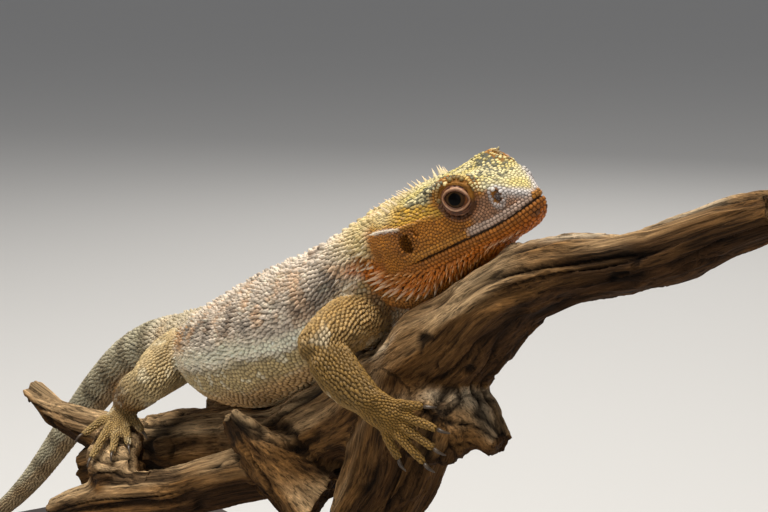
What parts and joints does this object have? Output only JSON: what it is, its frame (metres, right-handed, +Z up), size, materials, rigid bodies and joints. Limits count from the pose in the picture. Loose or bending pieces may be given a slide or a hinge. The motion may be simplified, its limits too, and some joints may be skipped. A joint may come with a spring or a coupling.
{
  "type": "bearded dragon",
  "caption": "Life-size bearded dragon lying along a cut length of driftwood, head raised and turned, tail hanging, on a flat base with rods.",
  "frame": {"origin": "centre of the underside of the stand's base", "axes": "+X from the tail towards the snout along the driftwood, +Y to the animal's left, +Z up"},
  "size_m": [0.4594, 0.15, 0.2043],
  "materials": {
    "hide_head": "scaly, cream crown and orange beard",
    "hide_body": "scaly, grey-tan with dark blotches",
    "hide_limb": "scaly, golden tan",
    "hide_tail": "scaly, softly banded",
    "eye": "wet gloss",
    "claw": "horn",
    "driftwood": "weathered, grained",
    "stand_board": "black satin lacquer",
    "stand_steel": "brushed"
  },
  "bodies": {
    "root": {"claw_foot_left_1": "claw", "claw_foot_left_2": "claw", "claw_foot_left_3": "claw", "claw_foot_left_4": "claw", "claw_foot_left_5": "claw", "claw_foot_right_1": "claw", "claw_foot_right_2": "claw", "claw_foot_right_3": "claw", "claw_foot_right_4": "claw", "claw_foot_right_5": "claw", "claw_hand_left_1": "claw", "claw_hand_left_2": "claw", "claw_hand_left_3": "claw", "claw_hand_left_4": "claw", "claw_hand_left_5": "claw", "claw_hand_right_1": "claw", "claw_hand_right_2": "claw", "claw_hand_right_3": "claw", "claw_hand_right_4": "claw", "claw_hand_right_5": "claw", "eye_left": "eye", "eye_right": "eye", "foot_left": "hide_limb", "foot_right": "hide_limb", "forearm_left": "hide_limb", "forearm_right": "hide_limb", "hand_left": "hide_limb", "hand_right": "hide_limb", "head": "hide_head", "jaw": "hide_head", "neck": "hide_body", "perch": "driftwood", "shin_left": "hide_limb", "shin_right": "hide_limb", "stand_base": "stand_board", "stand_rod_front": "stand_steel", "stand_rod_rear": "stand_steel", "tail_1": "hide_tail", "tail_2": "hide_tail", "tail_3": "hide_tail", "tail_4": "hide_tail", "thigh_left": "hide_limb", "thigh_right": "hide_limb", "trunk": "hide_body", "upper_arm_left": "hide_limb", "upper_arm_right": "hide_limb"}
  },
  "joints": []
}
